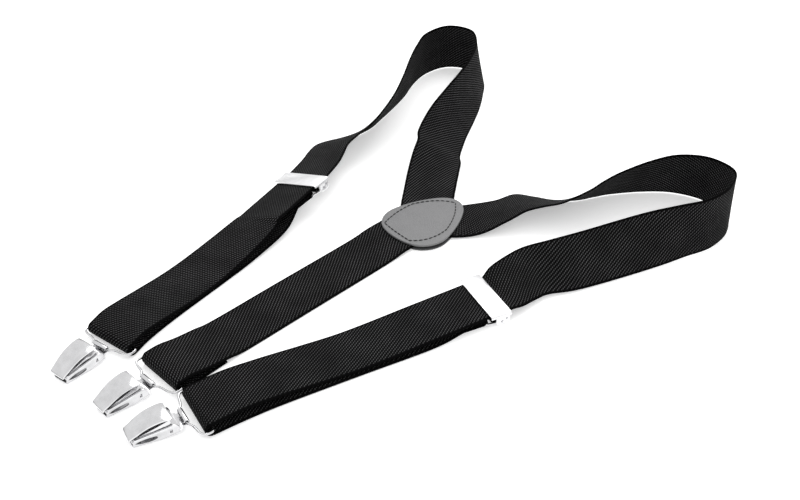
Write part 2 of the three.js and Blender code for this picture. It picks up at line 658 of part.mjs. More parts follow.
function clip(name) {
  const { at, heading } = CLIPS[name];
  const group = new THREE.Group();
  group.position.set(at[0], at[1], 0);
  group.rotation.z = radians(heading - 90);
  const earReach = baseHalf(JAW_PIN.y) - 0.5;
  const tipReach = baseHalf(LEVER_PIN.y) + 0.3;
  group.add(
    named(`${name}_ring`, wireRing(), "chrome"),
    named(`${name}_clip_base`, clipBase(), "chrome"),
    named(`${name}_clip_jaw`, upperJaw(), "chrome"),
    named(`${name}_clip_jaw_pin`, barX(JAW_PIN, JAW_PIN.radius, earReach), "steel"),
    named(`${name}_clip_lever`, coverLever(), "chrome"),
    named(`${name}_clip_lever_pin`, barX(LEVER_PIN, LEVER_PIN.radius, tipReach), "steel"),
    named(`${name}_clip_lower_pad`, jawPad(1.25, 1.75), "rubber"),
    named(`${name}_clip_upper_pad`, jawPad(1.95, 2.45), "rubber"),
  );
  return group;
}

// ---------------------------------------------------------------- assembly
const suspenders = new THREE.Group();
suspenders.add(
  named("yoke_backing", upright(yokeOutline(), 0, BACKING_THICKNESS), "backing"),
  named("yoke_leather", upright(yokeOutline(), LEATHER_LEVEL, LEATHER_LEVEL + LEATHER_THICKNESS), "leather"),
  named("back_strap", backStrap(), "webbing"),
);
Object.keys(SIDES).forEach((name) => {
  suspenders.add(
    named(`${name}_front_strap`, frontStrap(name), "webbing"),
    named(`${name}_under_run`, underRun(name), "webbing"),
    slideAdjuster(name),
  );
});
Object.keys(CLIPS).forEach((name) => suspenders.add(clip(name)));

export default suspenders;
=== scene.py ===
# Looks for the suspenders: webbing, leather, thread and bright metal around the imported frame.
# Everything is in the part's own frame: X to the right, Y towards the loops, Z up off the table.
# Lengths are written in millimetres and scaled by MM where they meet Blender.
import math

import bmesh
import bpy
from mathutils import Matrix, Vector


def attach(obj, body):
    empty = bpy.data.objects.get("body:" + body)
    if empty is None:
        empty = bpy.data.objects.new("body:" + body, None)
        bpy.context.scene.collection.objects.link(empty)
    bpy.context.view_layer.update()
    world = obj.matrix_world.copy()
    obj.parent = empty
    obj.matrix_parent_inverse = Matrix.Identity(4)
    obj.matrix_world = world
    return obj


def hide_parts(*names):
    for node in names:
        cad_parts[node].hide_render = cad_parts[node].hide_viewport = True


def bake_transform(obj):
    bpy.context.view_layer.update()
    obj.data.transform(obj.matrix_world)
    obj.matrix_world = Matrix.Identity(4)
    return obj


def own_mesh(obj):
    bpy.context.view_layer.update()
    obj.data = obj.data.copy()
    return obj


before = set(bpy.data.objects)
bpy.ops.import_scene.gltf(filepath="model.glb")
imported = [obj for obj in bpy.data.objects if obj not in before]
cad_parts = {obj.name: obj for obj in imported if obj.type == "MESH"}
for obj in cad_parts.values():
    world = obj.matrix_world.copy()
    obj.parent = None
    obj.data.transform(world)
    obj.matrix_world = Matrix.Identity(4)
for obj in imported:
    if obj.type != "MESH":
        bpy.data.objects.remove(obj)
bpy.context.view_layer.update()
MM = 0.001

# ------------------------------------------------------------------ sizes shared with the part
WEB_WIDTH = 35.0
WEB_THICKNESS = 1.3
FLAT = WEB_THICKNESS / 2 + 0.15          # centre of webbing that lies on the table
BACKING_THICKNESS = 1.0
LEATHER_THICKNESS = 1.3
YOKE_GAP = 0.3                           # between the straps and each plate of the yoke
YOKE_LEVEL = BACKING_THICKNESS + YOKE_GAP + WEB_THICKNESS / 2
LEATHER_LEVEL = YOKE_LEVEL + WEB_THICKNESS / 2 + YOKE_GAP
FOLD_RADIUS = 3.55                       # centre line of the webbing's fold round a ring
RING_LENGTH = 10.3                       # from a clip's hinge to the ring's bar
RING_HEIGHT = 4.35
TAB_END = -14.5                          # where the sewn end tab stops, along the strap
PLY_BELOW = -4.95                        # returning ply under the adjuster's own plane
LEVER_END = (-9.5, -3.3, 0.8)            # the lever's bar: along, height and radius
UNDER_GAP = 0.4                          # seam between the returning ply and its neighbours
BEND = 9.0                               # stretch of ply that bends with the lever
STRAIGHT = (9.5, 5, -8, -22, -38, -46)   # stations of the straight stretch through an adjuster
SIDES = {"left": -1, "right": 1}

# Clip hinge on the table plane, heading of the clip in degrees, slack of the strap in its ring.
CLIPS = {
    "left": ((-44.2, -219.6), -82, -0.5),
    "back": ((-1.2, -217.8), -91.5, 1.5),
    "right": ((35.2, -220.9), -106, -0.3),
}
# Middle of each face plate, its heading, sideways lean, fall along the strap and skew on it.
ADJUSTERS = {
    "left": dict(at=(-82, -33.4, 12.2), heading=104, lean=18, fall=0.03, skew=-6),
    "right": dict(at=(83.4, -32.3, 5.8), heading=76, lean=0, fall=0.012, skew=-5),
}
# Shoulder loops: the outer edge, then the point that the inner edge lies towards.
LOOPS = {
    "left": [
        (-5.4, 35.9, YOKE_LEVEL, -33.3, 14.7, YOKE_LEVEL),
        (-17.5, 52, 2, -45, 30.5, 6.5),
        (-26.6, 64.4, 2.2, -54.6, 46.4, 12),
        (-31.8, 71.2, 2, -60.5, 57, 15.5),
        (-40, 79.5, 1.2, -68.5, 65.5, 16.5),
        (-52.5, 99, 0.8, -75.5, 85, 23),
        (-63.5, 119, 0.8, -80, 106, 28),
        (-74, 137, 0.8, -85.5, 127, 32),
        (-86, 154, 0.8, -93, 147, 34),
        (-99, 169, 0.8, -104, 165, 35),
        (-119, 177, 0.8, -120, 177, 36),
        (-136, 168, 0.8, -138, 170, 35),
        (-140.5, 149, 0.8, -141, 149, 35),
        (-136, 129.5, 0.8, -133, 130.5, 35),
        (-127, 110, 0.8, -122, 112, 35),
        (-120.5, 91, 0.8, -109.5, 93, 34),
        (-115.5, 73.5, 0.8, -98.5, 73, 31),
        (-112, 59, 0.8, -91, 54, 28),
        (-112.5, 42.5, 1.2, -87, 37, 24),
        (-117, 28, 2.5, -88, 25.5, 20.5),
        (-118.5, 14, 4.2, -87.5, 15.5, 18),
        (-113.5, 1.5, 6, -81.5, 5, 17),
        (-107.5, -10, 6.8, -75, -5, 17.5),
    ],
    "right": [
        (5.4, 35.9, YOKE_LEVEL, 33.3, 14.7, YOKE_LEVEL),
        (16, 52.5, 2.5, 44, 32, 9),
        (22.5, 65, 4.6, 49.5, 45, 14),
        (32, 74, 2.8, 57, 54, 17),
        (43, 82.5, 1.2, 65.5, 63, 20),
        (53, 94.5, 0.8, 73, 79.5, 25),
        (58.5, 105, 0.8, 75.5, 91, 28),
        (64.5, 116, 0.8, 79, 104.5, 30.5),
        (77.5, 133, 0.8, 87, 125, 33.5),
        (93, 147, 0.8, 97, 142, 35),
        (113, 154, 0.8, 114, 153, 35),
        (133, 150, 0.8, 134, 151, 35),
        (145, 133, 0.8, 142, 133, 35),
        (147, 112, 0.8, 140, 113, 35),
        (141, 92, 0.8, 130, 95, 33),
        (135, 72, 0.8, 116.5, 78.5, 30),
        (127.5, 51, 0.8, 105.5, 61, 26),
        (120, 31.5, 0.8, 95.5, 42.5, 23.5),
        (113.5, 15, 1.5, 86.5, 22.5, 22),
        (106, 1, 2.5, 76, 10.5, 17.5),
        (104.5, -9, 3.5, 73, -1, 15.5),
        (104, -20, 4.6, 70.8, -13.5, 12.5),
    ],
}
# Runs of webbing: centre, heading and lean of each station.
UPPER_RUNS = {
    "left": [
        (-69.4, -84, 9, 102, 11),
        (-65.6, -106, 5.6, 100, 5),
        (-61.7, -130, 3.1, 98, 1),
        (-58.5, -150, 2.8, 97, 0),
        (-55.4, -170, 4.2, 96, 0),
        (-52, -187, 6.4, 98, 0),
        (-49.3, -199.5, 7.7, 99, 0),
    ],
    "right": [
        (64.8, -102, 3.6, 73, 0),
        (58.6, -122, 2.7, 71, 0),
        (51.6, -144, 3.2, 71, 0),
        (45.2, -168, 5.2, 74, 0),
        (40.6, -190, 7.2, 76, 0),
    ],
}
UNDER_RUNS = {
    "left": [
        (-71.2, -75, 3.2, 103, 4),
        (-65.7, -104, 1.3, 100, 1),
        (-61.7, -130, FLAT, 98, 0),
        (-55.4, -170, FLAT, 96, 0),
        (-50.4, -195, FLAT, 98, 0),
    ],
    "right": [
        (72.8, -78, FLAT, 75, 0),
        (60.1, -122, FLAT, 71, 0),
        (47, -168, FLAT, 74, 0),
        (41.4, -192, FLAT, 76, 0),
    ],
}
BACK_RUN = [
    (-4, -13, YOKE_LEVEL, 90, 0),
    (-4, -30, YOKE_LEVEL, 90, 0),
    (-3.8, -48, FLAT, 90, 0),
    (-3.4, -110, FLAT, 90, 0),
    (-3, -158, FLAT, 89, 0),
    (-2.8, -172, 2.5, 89, 0),
    (-2.4, -186, 4.4, 88, 0),
    (-1.7, -198, 7.2, 87, 0),
]
BACK_TAIL = (-2.8, -174, FLAT, 89, 0)
YOKE_START = ((0.4, 29.2), (14, -11))    # edges of a front strap's end under the leather


# ------------------------------------------------------------------ small helpers
def heading_vector(degrees, rise=0.0):
    turn = math.radians(degrees)
    return Vector((math.cos(turn), math.sin(turn), rise))


def edge_pair(row):
    """The webbing's two edges from an outer point and a point on the line to the inner edge."""
    outer, towards = Vector(row[:3]), Vector(row[3:])
    return outer, outer + (towards - outer).normalized() * WEB_WIDTH


def centred_pair(centre, heading, lean, side):
    """The webbing's two edges, outer first, about its centre."""
    turn = math.radians(heading + 90 * side)
    level = math.cos(math.radians(lean)) * WEB_WIDTH / 2
    rise = math.sin(math.radians(lean)) * WEB_WIDTH / 2
    half = Vector((math.cos(turn) * level, math.sin(turn) * level, rise))
    return centre - half, centre + half


def listed_pairs(rows, side):
    return [centred_pair(Vector(row[:3]), row[3], row[4], side) for row in rows]


def fold_pairs(name, side):
    """Stations of the half turn round a ring, from the upper ply to the lower one."""
    at, heading, slack = CLIPS[name]
    out = heading_vector(heading)
    middle = Vector((*at, RING_HEIGHT)) - out * (RING_LENGTH + slack)
    pairs = []
    for degrees in range(90, -91, -30):
        turn = math.radians(degrees)
        centre = middle + out * (math.cos(turn) * FOLD_RADIUS)
        centre.z += math.sin(turn) * FOLD_RADIUS
        pairs.append(centred_pair(centre, heading + 180, 0, side))
    return pairs


def slide_direction(adjuster):
    return heading_vector(adjuster["heading"], adjuster["fall"])


def adjuster_matrix(adjuster):
    """The adjuster's own frame: X across the strap, Y along it to the loop, Z off the table."""
    along = slide_direction(adjuster).normalized()
    tilt = -math.copysign(1, adjuster["at"][0]) * math.radians(adjuster["lean"])
    level = Vector((along.y, -along.x, 0)).normalized()
    across = level * math.cos(tilt) + level.cross(along) * math.sin(tilt)
    away = across.cross(along)
    turn = Matrix((across, along, away)).transposed().to_4x4()
    skew = Matrix.Rotation(math.radians(adjuster["skew"]), 4, "Z")
    return Matrix.Translation(Vector(adjuster["at"])) @ turn @ skew


def front_pairs(name):
    """Stations of a front strap, from the yoke round the loop and down to its ring."""
    side, adjuster = SIDES[name], ADJUSTERS[name]
    start = tuple(Vector((x * side, y, YOKE_LEVEL)) for x, y in YOKE_START)
    straight = [
        centred_pair(
            Vector(adjuster["at"]) + slide_direction(adjuster) * distance,
            adjuster["heading"], adjuster["lean"], side,
        )
        for distance in STRAIGHT
    ]
    return [
        start, *map(edge_pair, LOOPS[name]), *straight,
        *listed_pairs(UPPER_RUNS[name], side), *fold_pairs(name, side),
    ]


def under_pairs(name):
    """Stations of a returning ply, from the sewn end tab to the fold at the ring."""
    side = SIDES[name]
    to_world = adjuster_matrix(ADJUSTERS[name])
    near = [
        tuple(
            to_world @ Vector((end * WEB_WIDTH / 2, along, PLY_BELOW)) for end in (side, -side)
        )
        for along in (TAB_END - UNDER_GAP, TAB_END - BEND)
    ]
    seam = fold_pairs(name, side)[-1]
    back = heading_vector(CLIPS[name][1] + 180) * UNDER_GAP
    return [*near, *listed_pairs(UNDER_RUNS[name], side), tuple(point + back for point in seam)]


def catmull(points, span, t):
    """Point on a uniform Catmull-Rom spline, with ends extended straight, as in the part."""
    p1, p2 = points[span], points[span + 1]
    p0 = points[span - 1] if span > 0 else 2 * p1 - p2
    p3 = points[span + 2] if span + 2 < len(points) else 2 * p2 - p1
    v1, v2 = (p2 - p0) / 2, (p3 - p1) / 2
    t2, t3 = t * t, t * t * t
    return (
        p1 * (2 * t3 - 3 * t2 + 1) + p2 * (-2 * t3 + 3 * t2)
        + v1 * (t3 - 2 * t2 + t) + v2 * (t3 - t2)
    )


def link(mesh, name):
    obj = bpy.data.objects.new(name, mesh)
    bpy.context.scene.collection.objects.link(obj)
    return obj


# ------------------------------------------------------------------ webbing
BODY_FLATTEN = 0.92                      # the body is a little thinner than the woven edges
BODY_POINTS = (-12.0, -8.0, -4.0, 0.0, 4.0, 8.0, 12.0)


def web_section():
    """Cross-section of the elastic: a flat body with rounded, slightly thicker woven edges."""
    half, thick = WEB_WIDTH / 2, WEB_THICKNESS / 2
    edge = [
        (-half, 0.0), (-half + 0.12, 0.32), (-half + 0.4, 0.52),
        (-half + 0.9, thick * 0.97), (-half + 1.9, thick * 0.9),
    ]
    top = edge + [(x, thick * BODY_FLATTEN) for x in BODY_POINTS]
    top += [(-x, z) for x, z in reversed(edge)]
    return top + [(x, -z) for x, z in reversed(top[1:-1])]


SECTION = web_section()
STEP = 1.6                               # length of one row of faces along the webbing


def webbing(name, pairs, material, start=0.0, step=STEP):
    """A closed band through its stations, with a UV map in millimetres: across, then along."""
    outer = [pair[0] for pair in pairs]
    inner = [pair[1] for pair in pairs]
    rings = []
    for span in range(len(pairs) - 1):
        length = max((outer[span + 1] - outer[span]).length, (inner[span + 1] - inner[span]).length)
        count = max(2, round(length / step))
        rings += [(span, k / count) for k in range(count)]
    rings.append((len(pairs) - 2, 1.0))
    edge = [(catmull(outer, *ring), catmull(inner, *ring)) for ring in rings]
    mesh = bmesh.new()
    uv = mesh.loops.layers.uv.new("web")
    travelled, previous, rows = start, None, []
    for index, (a, b) in enumerate(edge):
        before, after = edge[max(index - 1, 0)], edge[min(index + 1, len(edge) - 1)]
        along = (after[0] + after[1] - before[0] - before[1]).normalized()
        across = (b - a).normalized()
        lift = across.cross(along).normalized()
        centre = (a + b) / 2
        if previous is not None:
            travelled += (centre - previous).length
        previous = centre
        row = [mesh.verts.new((centre + across * x + lift * z) * MM) for x, z in SECTION]
        rows.append((row, travelled))
    count = len(SECTION)
    for (row, v0), (after, v1) in zip(rows, rows[1:]):
        for k in range(count):
            m = (k + 1) % count
            face = mesh.faces.new((row[k], after[k], after[m], row[m]))
            for loop, (s, v) in zip(face.loops, ((k, v0), (k, v1), (m, v1), (m, v0))):
                loop[uv].uv = (SECTION[s][0], v)
    (first, v0), (last, v1) = rows[0], rows[-1]
    ends = ((first, SECTION, v0), (list(reversed(last)), list(reversed(SECTION)), v1))
    for corners, outline, v in ends:
        face = mesh.faces.new(corners)
        for loop, point in zip(face.loops, outline):
            loop[uv].uv = (point[0], v)
    bmesh.ops.recalc_face_normals(mesh, faces=mesh.faces)
    data = bpy.data.meshes.new(name)
    mesh.to_mesh(data)
    mesh.free()
    for polygon in data.polygons:
        polygon.use_smooth = len(polygon.vertices) == 4
    data.materials.append(material)
    obj = link(data, name)
    return obj


# ------------------------------------------------------------------ materials
class Nodes:
    """Short ways to wire a material's nodes."""

    def __init__(self, name):
        self.material = bpy.data.materials.new(name)
        self.material.use_nodes = True
        self.tree = self.material.node_tree
        self.shader = self.tree.nodes["Principled BSDF"]

    def add(self, kind, **settings):
        node = self.tree.nodes.new(kind)
        for key, value in settings.items():
            setattr(node, key, value)
        return node

    def wire(self, source, target):
        self.tree.links.new(source, target)

    def maths(self, operation, a, b=None):
        node = self.add("ShaderNodeMath", operation=operation)
        for slot, value in enumerate((a, b)):
            if value is None:
                continue
            if isinstance(value, (int, float)):
                node.inputs[slot].default_value = value
            else:
                self.wire(value, node.inputs[slot])
        return node.outputs[0]

    def spread(self, source, low, high, to_low, to_high):
        node = self.add("ShaderNodeMapRange", clamp=True)
        self.wire(source, node.inputs["Value"])
        limits = {"From Min": low, "From Max": high, "To Min": to_low, "To Max": to_high}
        for key, value in limits.items():
            node.inputs[key].default_value = value
        return node.outputs["Result"]

    def blend(self, factor, a, b):
        node = self.add("ShaderNodeMix", data_type="RGBA")
        self.wire(factor, node.inputs["Factor"])
        for slot, colour in ((6, a), (7, b)):
            if isinstance(colour, tuple):
                node.inputs[slot].default_value = (*colour, 1)
            else:
                self.wire(colour, node.inputs[slot])
        return node.outputs[2]

    def noise(self, scale, detail=3.0, roughness=0.5, coordinate=None):
        node = self.add("ShaderNodeTexNoise")
        node.inputs["Scale"].default_value = scale
        node.inputs["Detail"].default_value = detail
        node.inputs["Roughness"].default_value = roughness
        self.wire(coordinate or self.object_place(), node.inputs["Vector"])
        return node.outputs["Fac"]

    def object_place(self):
        return self.add("ShaderNodeTexCoord").outputs["Object"]

    def bump(self, height, distance, strength=1.0):
        node = self.add("ShaderNodeBump")
        node.inputs["Strength"].default_value = strength
        node.inputs["Distance"].default_value = distance
        self.wire(height, node.inputs["Height"])
        return node.outputs["Normal"]

    def set(self, **values):
        for key, value in values.items():
            slot = self.shader.inputs[key.replace("_", " ")]
            if isinstance(value, tuple):
                slot.default_value = (*value, 1)
            elif isinstance(value, (int, float)):
                slot.default_value = value
            else:
                self.wire(value, slot)
        return self.material


RIB_PERIOD = 1.3                         # cross ribs, along the strap
SLANT_PERIOD = 2.1                       # slanting lines of yarn
SLANT = 0.68
SELVEDGE = (15.9, 16.5)                  # where the ribs fade out, from the strap's middle


def webbing_material():
    """Ribbed elastic: cross ribs broken into slanting flecks, with plain selvedges; the lighter
    flecks on the crests are a painted highlight, the glint of light on the raised yarn.
    """
    m = Nodes("webbing_black")
    parts = m.add("ShaderNodeSeparateXYZ")
    m.wire(m.add("ShaderNodeUVMap", uv_map="web").outputs["UV"], parts.inputs[0])
    across, along = parts.outputs["X"], parts.outputs["Y"]
    wobble = m.spread(m.noise(260, 2), 0.3, 0.7, -0.5, 0.5)

    def wave(value, period):
        phase = m.maths("ADD", m.maths("MULTIPLY", value, 2 * math.pi / period), wobble)
        return m.spread(m.maths("SINE", phase), -1.0, 1.0, 0.0, 1.0)

    rib = wave(along, RIB_PERIOD)
    slant = wave(m.maths("ADD", across, m.maths("MULTIPLY", along, SLANT)), SLANT_PERIOD)
    body = m.spread(m.maths("ABSOLUTE", across), *SELVEDGE, 1.0, 0.2)
    fuzz = m.noise(2600, 2)
    patches = m.spread(m.noise(55, 3), 0.3, 0.7, 0.55, 1.0)
    weave = m.maths("MULTIPLY", m.maths("ADD", m.maths("MULTIPLY", rib, 0.6), slant), body)
    height = m.maths("ADD", weave, m.maths("MULTIPLY", fuzz, 0.35))
    # Painted highlight: the crests of the weave are coloured lighter, standing in for the glint of
    # light on the raised yarn; the patches vary it at random.
    lit_crest = m.maths("POWER", m.spread(height, 0.7, 1.9, 0.0, 1.0), 2.6)
    crest_glint = m.maths("MULTIPLY", lit_crest, patches)
    colour = m.blend(crest_glint, (0.001, 0.001, 0.0011), (0.16, 0.16, 0.163))
    return m.set(
        Base_Color=colour,
        Roughness=m.spread(fuzz, 0.3, 0.7, 0.78, 0.95),
        Specular_IOR_Level=0.04,
        Sheen_Weight=0.008,
        Sheen_Roughness=0.4,
        Normal=m.bump(height, 0.00025, 0.9),
    )


def thread_material():
    m = Nodes("thread_black")
    twist = m.noise(3200, 2)
    return m.set(
        Base_Color=m.blend(twist, (0.004, 0.004, 0.004), (0.02, 0.02, 0.021)),
        Roughness=0.6,
        Normal=m.bump(twist, 0.0001),
    )


def leather_material(name, dark, light, shine):
    """Grained leather: small cells with creases between them, and a slow change of colour at
    random; the creases are painted darker, as painted shade.
    """
    m = Nodes(name)
    place = m.object_place()
    cells = m.add("ShaderNodeTexVoronoi", feature="DISTANCE_TO_EDGE")
    cells.inputs["Scale"].default_value = 900
    m.wire(place, cells.inputs["Vector"])
    grain = m.spread(cells.outputs["Distance"], 0.0, 0.16, 0.0, 1.0)
    fine = m.noise(2200, 3, 0.6, place)
    cloud = m.noise(70, 4, 0.55, place)
    # The grain darkens the colour in the creases between the cells: painted shade in the creases,
    # added to the random cloud of colour.
    tone_and_crease_shade = m.maths("ADD", m.maths("MULTIPLY", cloud, 0.8), m.maths("MULTIPLY", grain, 0.25))
    height = m.maths("ADD", grain, m.maths("MULTIPLY", fine, 0.5))
    return m.set(
        Base_Color=m.blend(m.spread(tone_and_crease_shade, 0.35, 0.85, 0.0, 1.0), dark, light),
        Roughness=m.spread(cloud, 0.3, 0.7, shine, shine + 0.14),
        Specular_IOR_Level=0.5,
        Normal=m.bump(height, 0.00006, 0.8),
    )


def metal_material(name, colour, roughness, brushed=0.0):
    """Plated metal with faint polishing marks and slightly darker, duller patches of haze."""
    m = Nodes(name)
    place = m.object_place()
    haze = m.noise(160, 4, 0.6, place)
    fine = m.noise(3000, 2, 0.5, place)
    stretched = m.add("ShaderNodeMapping")
    m.wire(place, stretched.inputs["Vector"])
    stretched.inputs["Scale"].default_value = (400, 60, 400)
    marks = m.noise(12, 3, 0.6, stretched.outputs["Vector"])
    height = m.maths("ADD", m.maths("MULTIPLY", fine, 0.3), m.maths("MULTIPLY", marks, brushed))
    shade = tuple(c * 0.86 for c in colour)
    return m.set(
        Base_Color=m.blend(m.spread(haze, 0.35, 0.7, 0.0, 1.0), colour, shade),
        Metallic=1.0,
        Roughness=m.spread(haze, 0.3, 0.7, roughness, roughness + 0.1),
        Normal=m.bump(height, 0.00002, 0.5),
    )


def rubber_material():
    m = Nodes("rubber_black")
    fine = m.noise(1800, 3)
    return m.set(
        Base_Color=m.blend(fine, (0.004, 0.004, 0.004), (0.012, 0.012, 0.013)),
        Roughness=m.spread(fine, 0.3, 0.7, 0.5, 0.7),
        Normal=m.bump(fine, 0.00006),
    )


WEB = webbing_material()
THREAD = thread_material()
LEATHER = leather_material("leather_grey", (0.12, 0.12, 0.123), (0.172, 0.172, 0.175), 0.34)
BACKING = leather_material("leather_backing", (0.05, 0.05, 0.052), (0.09, 0.09, 0.092), 0.7)
CHROME = metal_material("chrome_bright", (0.7, 0.7, 0.71), 0.1, 0.4)
FACE = metal_material("plate_bright", (0.95, 0.95, 0.96), 0.28, 0.2)
STEEL = metal_material("steel_pin", (0.62, 0.62, 0.64), 0.24, 0.6)
RUBBER = rubber_material()

# ------------------------------------------------------------------ straps
for name in SIDES:
    strap = webbing(f"{name}_front_webbing", front_pairs(name), WEB)
    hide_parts(f"{name}_front_strap")
    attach(strap, "straps")
back_pairs = [
    *listed_pairs(BACK_RUN, 1), *fold_pairs("back", 1), *listed_pairs([BACK_TAIL], 1),
]
back = webbing("back_webbing", back_pairs, WEB)
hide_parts("back_strap")
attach(back, "straps")

# The returning ply, in two pieces: its far part runs from the bend to the ring, and its last
# stretch, from the sewn end tab to the bend, is built in finer steps.
FINE_STEP = 0.8
for name in SIDES:
    pairs = under_pairs(name)
    far = webbing(f"{name}_returning_webbing", pairs[1:], WEB, start=BEND - UNDER_GAP)
    near = webbing(f"{name}_returning_end", pairs[:2], WEB, step=FINE_STEP)
    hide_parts(f"{name}_under_run")
    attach(far, "straps")
    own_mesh(far)
    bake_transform(near)


# ------------------------------------------------------------------ carried-over metal, refined
WELD = 2e-6                              # metres between points that are one point
COPLANAR = 0.6                           # degrees between faces that are one face


def refine(node, body, material, bevel=0.12, smooth=32, sub=0):
    """A copy of a CAD piece with its edges broken and its rolled faces shaded smooth."""
    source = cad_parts[node]
    data = source.data.copy()
    obj = link(data, f"{node}_finished")
    work = bmesh.new()
    work.from_mesh(data)
    bmesh.ops.remove_doubles(work, verts=work.verts, dist=WELD)
    bmesh.ops.dissolve_limit(
        work, angle_limit=math.radians(COPLANAR), verts=work.verts, edges=work.edges,
        use_dissolve_boundaries=False,
    )
    work.to_mesh(data)
    work.free()
    data.materials.clear()
    data.materials.append(material)
    if bevel:
        rounding = obj.modifiers.new("round", "BEVEL")
        rounding.width = bevel * MM
        rounding.segments = 2
        rounding.limit_method = "ANGLE"
        rounding.angle_limit = math.radians(smooth)
        rounding.use_clamp_overlap = True
        rounding.harden_normals = False
    if sub:
        surface = obj.modifiers.new("soft", "SUBSURF")
        surface.levels = surface.render_levels = sub
    bpy.context.view_layer.update()
    finished = obj.evaluated_get(bpy.context.evaluated_depsgraph_get())
    final = bpy.data.meshes.new_from_object(finished)
    obj.modifiers.clear()
    obj.data = final
    for polygon in final.polygons:
        polygon.use_smooth = True
    final.set_sharp_from_angle(angle=math.radians(smooth + 8))
    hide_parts(node)
    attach(obj, body)


for name in SIDES:
    refine(f"{name}_adjuster_face", f"{name}_adjuster", FACE, 0.18)
    refine(f"{name}_adjuster_pivot", f"{name}_adjuster", STEEL, 0.12)
    refine(f"{name}_adjuster_bar", f"{name}_adjuster", STEEL, 0.12)
    refine(f"{name}_adjuster_lever", f"{name}_adjuster_lever", CHROME, 0.1)
for name in CLIPS:
    refine(f"{name}_ring", f"{name}_ring", CHROME, 0, 60, 1)
    refine(f"{name}_clip_base", f"{name}_clip", CHROME, 0.12)
    refine(f"{name}_clip_jaw_pin", f"{name}_clip", STEEL, 0.12)
    refine(f"{name}_clip_lever_pin", f"{name}_clip", STEEL, 0.1)
    refine(f"{name}_clip_lower_pad", f"{name}_clip", RUBBER, 0.08)
    refine(f"{name}_clip_jaw", f"{name}_jaw", CHROME, 0.12)
    refine(f"{name}_clip_upper_pad", f"{name}_jaw", RUBBER, 0.08)
    refine(f"{name}_clip_lever", f"{name}_cover", CHROME, 0.16)


# ------------------------------------------------------------------ end tabs
TAB_STEP = 0.7
TAB_TAPER = 2.4                          # stretch over which the sewn plies come together
BAR_CLEARANCE = 0.2


def end_tab(name):
    """The sewn end of the strap, wrapped round the lever's bar."""
    y, z, radius = LEVER_END
    turn = WEB_THICKNESS / 2 + radius + BAR_CLEARANCE
    profile = [(TAB_END, -3.4), (TAB_END + TAB_TAPER, -2.3), (y, z + turn)]
    profile += [
        (y + math.cos(math.radians(a)) * turn, z + math.sin(math.radians(a)) * turn)
        for a in range(60, -61, -30)
    ]
    profile += [(y, PLY_BELOW), (TAB_END + TAB_TAPER, PLY_BELOW), (TAB_END, PLY_BELOW)]
    to_world = adjuster_matrix(ADJUSTERS[name])
    pairs = [
        tuple(to_world @ Vector((end * WEB_WIDTH / 2, a, b)) for end in (-1, 1)) for a, b in profile
    ]
    tab = webbing(f"{name}_sewn_end", pairs, WEB, step=TAB_STEP)
    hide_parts(f"{name}_end_tab")
    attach(tab, f"{name}_adjuster_lever")


for name in SIDES:
    end_tab(name)


# ------------------------------------------------------------------ yoke
# Quadratic curves: two ends with the point that the curve bends towards between them.
OUTLINE = [
    ((0, -25.2), (12, -25.2), (18, -20)),
    ((18, -20), (24.8, -13.5), (24, -4)),
    ((24, -4), (22, 9.5), (14.3, 22.5)),
    ((14.3, 22.5), (8, 33.6), (0, 33.6)),
    ((0, 33.6), (-8, 33.6), (-14.3, 22.5)),
    ((-14.3, 22.5), (-22, 9.5), (-24, -4)),
    ((-24, -4), (-24.8, -13.5), (-18, -20)),
    ((-18, -20), (-12, -25.2), (0, -25.2)),
]
SEAM = [
    ((0.8, 30.3), (11.5, 21), (17.6, 4)),
    ((17.6, 4), (20, -13), (9, -21.6)),
    ((9, -21.6), (-3, -21.8), (-16, -19.2)),
    ((-16, -19.2), (-20.2, -5), (-18.4, 8.5)),
    ((-18.4, 8.5), (-12, 25), (0.8, 30.3)),
]
LEATHER_CROWN = 0.35
LEATHER_ROUNDING = 0.5
BACKING_ROUNDING = 0.3
YOKE_HALF = (24, 29.5)                   # half the leather's width and length
TOP_RINGS = (0.93, 0.84, 0.72, 0.58, 0.42, 0.25, 0.1)


def curve_path(curves, steps=14):
    """Points along a closed chain of quadratic curves."""
    points = []
    for a, b, c in curves:
        a, b, c = Vector(a), Vector(b), Vector(c)
        for k in range(steps):
            t = k / steps
            points.append(a * (1 - t) ** 2 + b * 2 * t * (1 - t) + c * t * t)
    return points


def inset_path(points, distance):
    count = len(points)
    moved = []
    for k, point in enumerate(points):
        along = (points[(k + 1) % count] - points[k - 1]).normalized()
        moved.append(point + Vector((-along.y, along.x)) * distance)
    return moved


def yoke_plate(name, low, high, material, crown, rounding):
    """A cut plate: rounded edges and, on the leather, a slight crown over the straps."""
    outline = curve_path(OUTLINE)
    count = len(outline)
    levels = []
    for degrees in (0, 22.5, 45, 67.5, 90):
        a = math.radians(degrees)
        levels.append((rounding * (1 - math.sin(a)), rounding * (1 - math.cos(a))))
    rings = [(inset, low + drop) for inset, drop in levels]
    rings += [(inset, high - drop) for inset, drop in reversed(levels)]
    mesh = bmesh.new()
    rows = []
    for inset, z in rings:
        path = inset_path(outline, inset) if inset else outline
        rows.append([mesh.verts.new((p.x * MM, p.y * MM, z * MM)) for p in path])
    top = inset_path(outline, levels[0][0])
    for share in TOP_RINGS:
        level = high + crown * (1 - share ** 2)
        rows.append([mesh.verts.new((*(p * share * MM), level * MM)) for p in top])
    tip = mesh.verts.new((0, 0, (high + crown) * MM))
    for lower, upper in zip(rows, rows[1:]):
        for k in range(count):
            m = (k + 1) % count
            mesh.faces.new((lower[k], lower[m], upper[m], upper[k]))
    for k in range(count):
        mesh.faces.new((rows[-1][k], rows[-1][(k + 1) % count], tip))
    mesh.faces.new(list(reversed(rows[0])))
    bmesh.ops.recalc_face_normals(mesh, faces=mesh.faces)
    data = bpy.data.meshes.new(name)
    mesh.to_mesh(data)
    mesh.free()
    for polygon in data.polygons:
        polygon.use_smooth = len(polygon.vertices) < 5
    data.materials.append(material)
    obj = link(data, name)
    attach(obj, "straps")
    return obj


